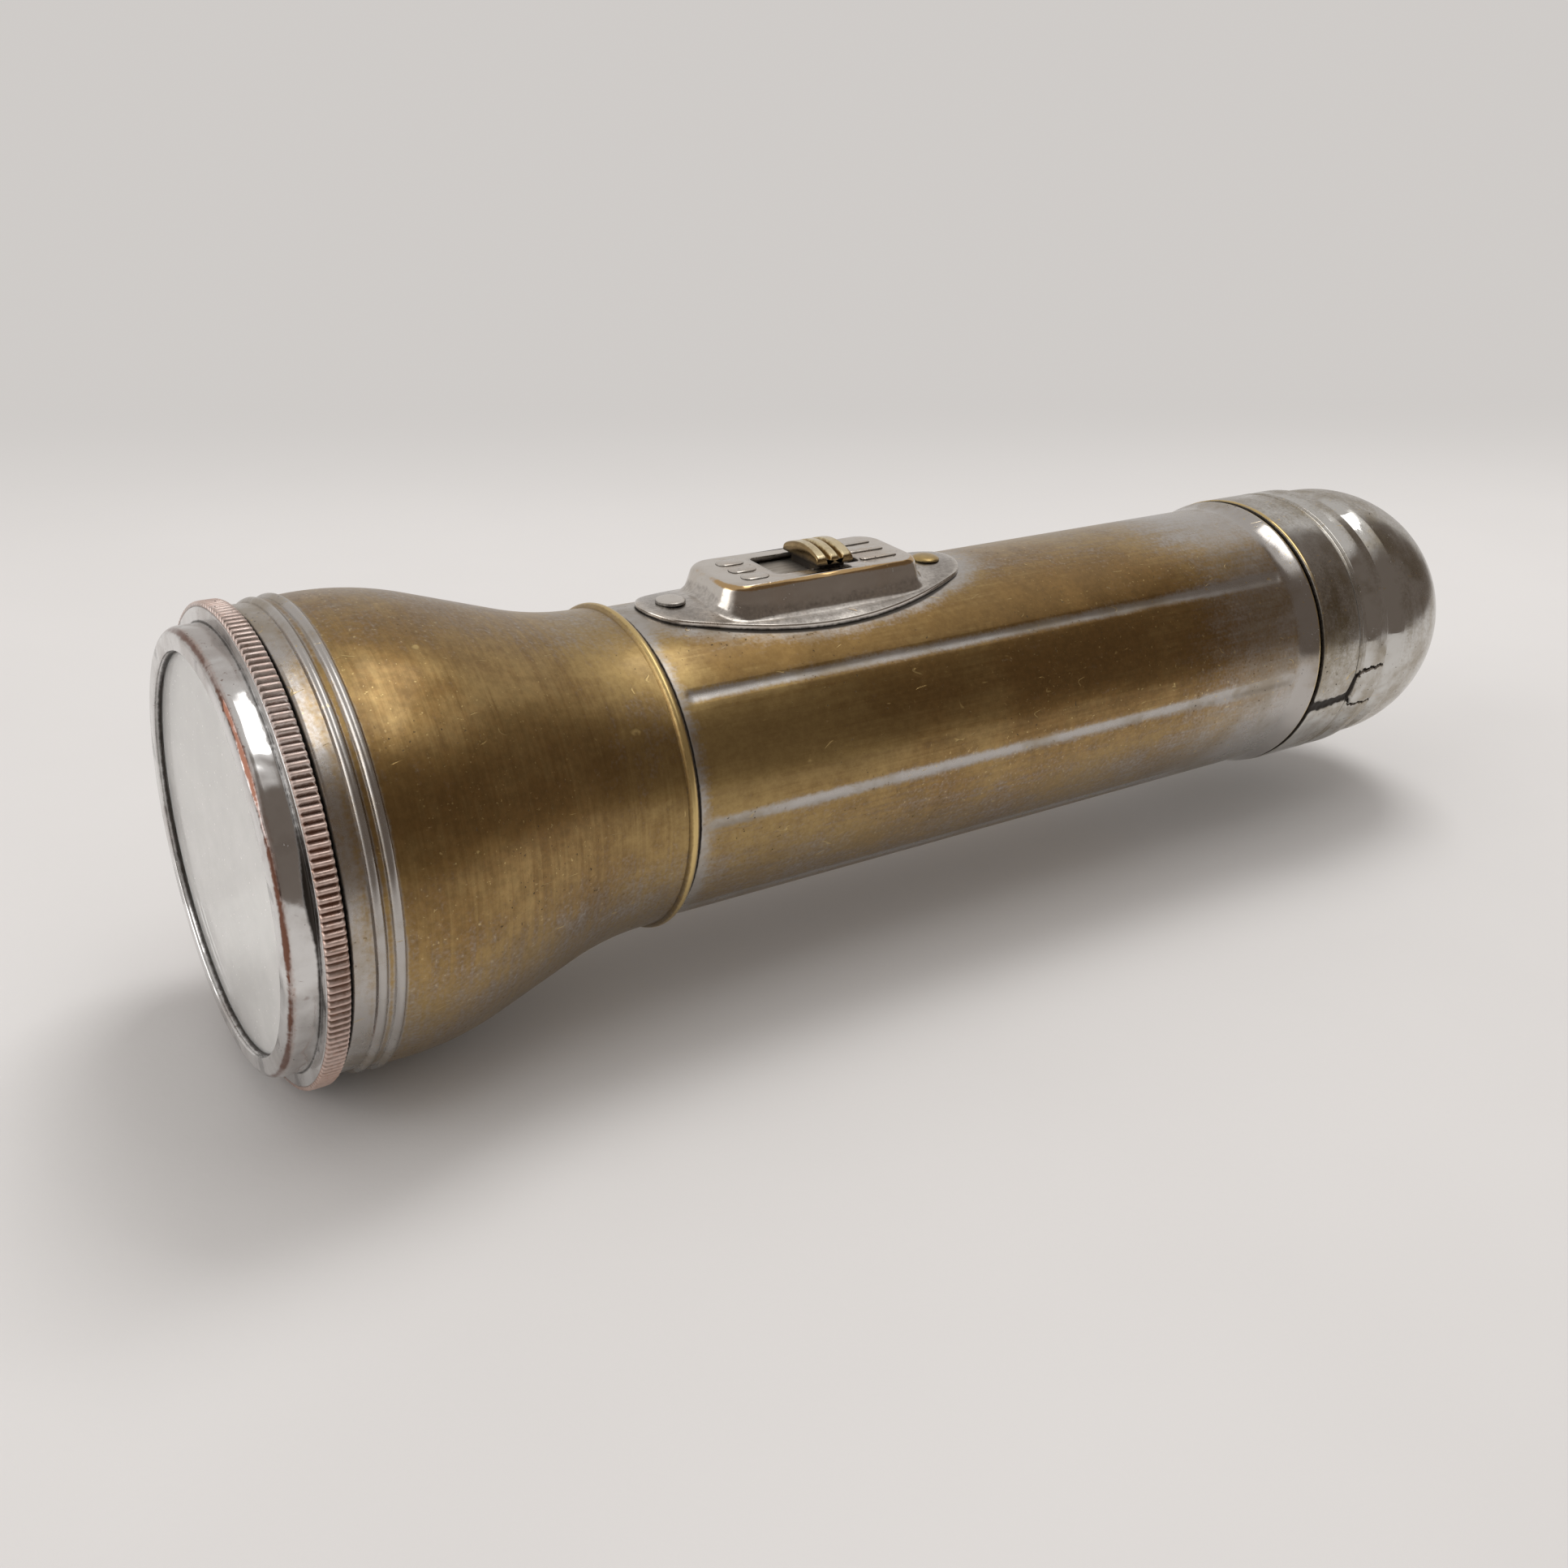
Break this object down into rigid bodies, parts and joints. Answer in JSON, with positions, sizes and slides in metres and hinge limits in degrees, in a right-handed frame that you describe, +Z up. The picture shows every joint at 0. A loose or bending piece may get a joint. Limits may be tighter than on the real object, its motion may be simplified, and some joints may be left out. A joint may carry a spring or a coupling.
{
  "type": "flashlight",
  "caption": "Plated-brass flashlight with a knurled screw-on lens ring, trumpet head, fluted barrel, riveted slide switch and a screw-on bullet tail cap with a spring.",
  "frame": {"origin": "mid-length on the barrel's axis, the middle of the bounding box", "axes": "+X along the barrel from lens to tail, +Z up through the switch"},
  "size_m": [0.1892, 0.0532, 0.0532],
  "materials": {
    "bezel": "polished nickel plate, worn to copper at its corner and knurl",
    "wire": "bright spring steel wire",
    "lens": "clear flat glass",
    "gasket": "dull brown rubber",
    "reflector": "silvered and polished",
    "fibre": "red vulcanised fibre",
    "socket": "bare sheet brass",
    "lamp_shell": "bright screw shell",
    "lamp_globe": "clear glass",
    "lamp_insulator": "black insulator",
    "lamp_tip": "solder",
    "filament": "drawn wire",
    "head": "nickel plate worn to satin brass",
    "barrel": "nickel plate worn to satin brass",
    "switch": "worn nickel plate",
    "rivets": "worn brass",
    "slide": "worn nickel plate over brass",
    "shoe": "dull steel",
    "contacts": "bare spring brass",
    "cell_jacket": "dark blue card jacket",
    "cell_caps": "bright stamped brass",
    "cell_zinc": "bare zinc",
    "tail": "nickel plate worn to brass in patches"
  },
  "bodies": {
    "case": {"head_shell": "head", "body_tube": "barrel", "switch_plate": "switch", "switch_rivets": "rivets", "contact_strip": "contacts", "strip_insulator": "fibre", "front_cell": "cell_jacket", "front_cell_cap": "cell_caps", "front_cell_base": "cell_zinc", "rear_cell": "cell_jacket", "rear_cell_cap": "cell_caps", "rear_cell_base": "cell_zinc"},
    "slide": {"thumb_slide": "slide", "slide_shoe": "shoe", "slide_contact": "contacts"},
    "optic": {"lens": "lens", "lens_gasket": "gasket", "reflector": "reflector", "reflector_insulator": "fibre", "bulb_socket": "socket", "bulb_base": "lamp_shell", "bulb_glass": "lamp_globe", "bulb_insulator": "lamp_insulator", "bulb_tip": "lamp_tip", "bulb_filament": "filament"},
    "bezel": {"bezel_ring": "bezel", "retaining_ring": "wire"},
    "tail_seat": {"tail_spring": "wire"},
    "tail": {"tail_cap": "tail"}
  },
  "joints": [
    {"name": "switch_slide", "type": "slide", "parent": "case", "child": "slide", "axis": [-1, 0, 0], "range_m": [0, 0.0055]},
    {"name": "bezel_travel", "type": "slide", "parent": "case", "child": "optic", "axis": [-1, 0, 0], "range_m": [0, 0.00451]},
    {"name": "bezel_turn", "type": "hinge", "parent": "optic", "child": "bezel", "pos_m": [0, 0, 0], "axis": [-1, 0, 0], "range_deg": [0, 1080]},
    {"name": "cap_travel", "type": "slide", "parent": "case", "child": "tail_seat", "axis": [1, 0, 0], "range_m": [0, 0.00451], "deforming": ["tail_spring"]},
    {"name": "cap_turn", "type": "hinge", "parent": "tail_seat", "child": "tail", "pos_m": [0, 0, 0], "axis": [1, 0, 0], "range_deg": [0, 1080]}
  ],
  "couplings": [
    {"joint": "bezel_travel", "follows": "bezel_turn", "m_per_rad": 0.00023873},
    {"joint": "cap_travel", "follows": "cap_turn", "m_per_rad": 0.00023873}
  ]
}
